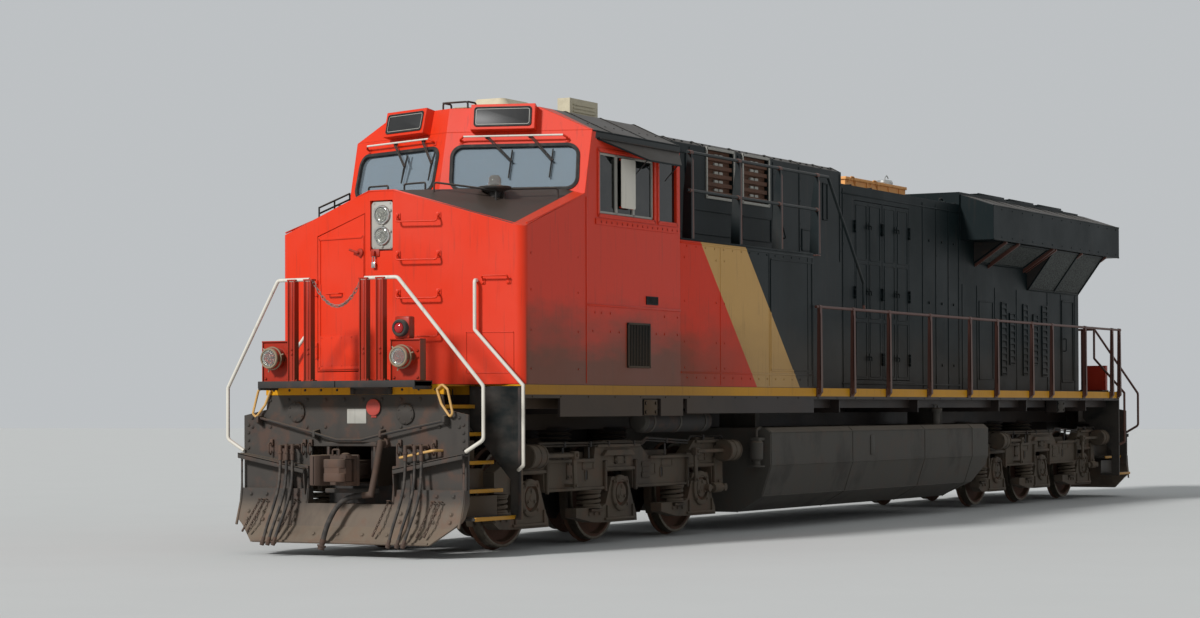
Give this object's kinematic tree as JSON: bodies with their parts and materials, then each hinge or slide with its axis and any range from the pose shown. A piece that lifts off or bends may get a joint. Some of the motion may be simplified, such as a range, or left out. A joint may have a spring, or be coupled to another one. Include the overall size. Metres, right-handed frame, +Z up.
{
  "type": "diesel locomotive",
  "caption": "Diesel-electric freight locomotive with wide nose, single cab, hoods, flared radiator wings and two swivelling trucks that roll on rails.",
  "frame": {"origin": "on the ground plane under the middle of the locomotive, where the wheel flanges touch, midway between the coupler faces", "axes": "+X to the nose end, +Y to the left side, +Z up"},
  "size_m": [22.3, 3.5, 5.0386],
  "materials": {
    "hood_paint": "satin paint",
    "red_paint": "gloss paint",
    "rail_paint": "weathered paint",
    "frame_steel": "dusty cast steel",
    "tank_paint": "dusty paint",
    "wheel_steel": "rolled steel",
    "coupler_steel": "rough cast steel",
    "window_glass": "clear",
    "lens_glass": "clear",
    "seat_fabric": "woven",
    "interior_paint": "matte",
    "unit_plastic": "matte",
    "hose_rubber": "matte",
    "horn_metal": "cast"
  },
  "bodies": {
    "locomotive": {"underframe": "hood_paint", "fuel_tank": "tank_paint", "nose": "red_paint", "cab_shell": "red_paint", "cab_roof": "hood_paint", "window_awnings": "hood_paint", "cab_glass": "window_glass", "cab_seats": "seat_fabric", "control_desks": "interior_paint", "upper_hood": "hood_paint", "grid_louvres": "frame_steel", "inverter_cabinet": "red_paint", "engine_hood": "hood_paint", "engine_block": "frame_steel", "radiator_hood": "hood_paint", "radiator_screens": "frame_steel", "exhaust_stack": "frame_steel", "roof_units": "unit_plastic", "number_boxes": "hood_paint", "lamp_cases": "rail_paint", "lamp_lenses": "lens_glass", "pilot_front": "frame_steel", "pilot_rear": "frame_steel", "steps": "hood_paint", "end_handrails": "rail_paint", "side_handrails": "rail_paint", "air_reservoirs": "tank_paint", "horn": "horn_metal", "hood_vents": "frame_steel", "cut_levers": "rail_paint", "brake_hoses": "hose_rubber", "mu_hoses": "hose_rubber", "hose_fittings": "coupler_steel", "glad_hands": "coupler_steel"},
    "truck_front": {"truck_frame_front": "frame_steel", "journal_boxes_front": "frame_steel", "springs_front": "frame_steel", "traction_motors_front": "frame_steel", "brake_cylinders_front": "frame_steel"},
    "coupler_front": {"coupler_front": "coupler_steel"},
    "knuckle_front": {"knuckle_front": "coupler_steel"},
    "truck_rear": {"truck_frame_rear": "frame_steel", "journal_boxes_rear": "frame_steel", "springs_rear": "frame_steel", "traction_motors_rear": "frame_steel", "brake_cylinders_rear": "frame_steel"},
    "coupler_rear": {"coupler_rear": "coupler_steel"},
    "knuckle_rear": {"knuckle_rear": "coupler_steel"},
    "wheelset_1": {"wheelset_1": "wheel_steel"},
    "wheelset_2": {"wheelset_2": "wheel_steel"},
    "wheelset_3": {"wheelset_3": "wheel_steel"},
    "wheelset_4": {"wheelset_4": "wheel_steel"},
    "wheelset_5": {"wheelset_5": "wheel_steel"},
    "wheelset_6": {"wheelset_6": "wheel_steel"},
    "hood_door_1": {"hood_door_1": "hood_paint"},
    "hood_door_2": {"hood_door_2": "hood_paint"},
    "hood_door_3": {"hood_door_3": "hood_paint"},
    "hood_door_4": {"hood_door_4": "hood_paint"},
    "nose_door": {"nose_door": "red_paint"},
    "cab_door": {"cab_door": "red_paint"}
  },
  "joints": [
    {"name": "truck_front_swivel", "type": "hinge", "parent": "locomotive", "child": "truck_front", "pos_m": [7.015, 0, 1.1786], "axis": [0, 0, 1], "range_deg": [-5, 5]},
    {"name": "truck_rear_swivel", "type": "hinge", "parent": "locomotive", "child": "truck_rear", "pos_m": [-7.015, 0, 1.1786], "axis": [0, 0, 1], "range_deg": [-5, 5]},
    {"name": "wheelset_1_roll", "type": "hinge", "parent": "truck_front", "child": "wheelset_1", "pos_m": [9.03, 0, 0.5616], "axis": [0, 1, 0], "continuous": true},
    {"name": "wheelset_2_roll", "type": "hinge", "parent": "truck_front", "child": "wheelset_2", "pos_m": [7.015, 0, 0.5616], "axis": [0, 1, 0], "continuous": true},
    {"name": "wheelset_3_roll", "type": "hinge", "parent": "truck_front", "child": "wheelset_3", "pos_m": [5, 0, 0.5616], "axis": [0, 1, 0], "continuous": true},
    {"name": "wheelset_4_roll", "type": "hinge", "parent": "truck_rear", "child": "wheelset_4", "pos_m": [-5, 0, 0.5616], "axis": [0, 1, 0], "continuous": true},
    {"name": "wheelset_5_roll", "type": "hinge", "parent": "truck_rear", "child": "wheelset_5", "pos_m": [-7.015, 0, 0.5616], "axis": [0, 1, 0], "continuous": true},
    {"name": "wheelset_6_roll", "type": "hinge", "parent": "truck_rear", "child": "wheelset_6", "pos_m": [-9.03, 0, 0.5616], "axis": [0, 1, 0], "continuous": true},
    {"name": "coupler_front_swing", "type": "hinge", "parent": "locomotive", "child": "coupler_front", "pos_m": [10.15, 0, 0.8886], "axis": [0, 0, 1], "range_deg": [-7, 7]},
    {"name": "knuckle_front_open", "type": "hinge", "parent": "coupler_front", "child": "knuckle_front", "pos_m": [11.01, 0.15, 0.8886], "axis": [0, 0, 1], "range_deg": [0, 45]},
    {"name": "coupler_rear_swing", "type": "hinge", "parent": "locomotive", "child": "coupler_rear", "pos_m": [-10.15, 0, 0.8886], "axis": [0, 0, 1], "range_deg": [-7, 7]},
    {"name": "knuckle_rear_open", "type": "hinge", "parent": "coupler_rear", "child": "knuckle_rear", "pos_m": [-11.01, -0.15, 0.8886], "axis": [0, 0, 1], "range_deg": [0, 45]},
    {"name": "nose_door_swing", "type": "hinge", "parent": "locomotive", "child": "nose_door", "pos_m": [9.93228, -0.95272, 2.7286], "axis": [0, 0, -1], "range_deg": [0, 105]},
    {"name": "cab_door_swing", "type": "hinge", "parent": "locomotive", "child": "cab_door", "pos_m": [6.212, -1.035, 3.5286], "axis": [0, 0, -1], "range_deg": [0, 90]},
    {"name": "hood_door_1_swing", "type": "hinge", "parent": "locomotive", "child": "hood_door_1", "pos_m": [0.007, 1.018, 3.0286], "axis": [0, 0, -1], "range_deg": [0, 90]},
    {"name": "hood_door_2_swing", "type": "hinge", "parent": "locomotive", "child": "hood_door_2", "pos_m": [-0.937, 1.018, 3.0286], "axis": [0, 0, 1], "range_deg": [0, 90]},
    {"name": "hood_door_3_swing", "type": "hinge", "parent": "locomotive", "child": "hood_door_3", "pos_m": [-0.983, 1.018, 3.0286], "axis": [0, 0, -1], "range_deg": [0, 90]},
    {"name": "hood_door_4_swing", "type": "hinge", "parent": "locomotive", "child": "hood_door_4", "pos_m": [-1.927, 1.018, 3.0286], "axis": [0, 0, 1], "range_deg": [0, 90]}
  ]
}
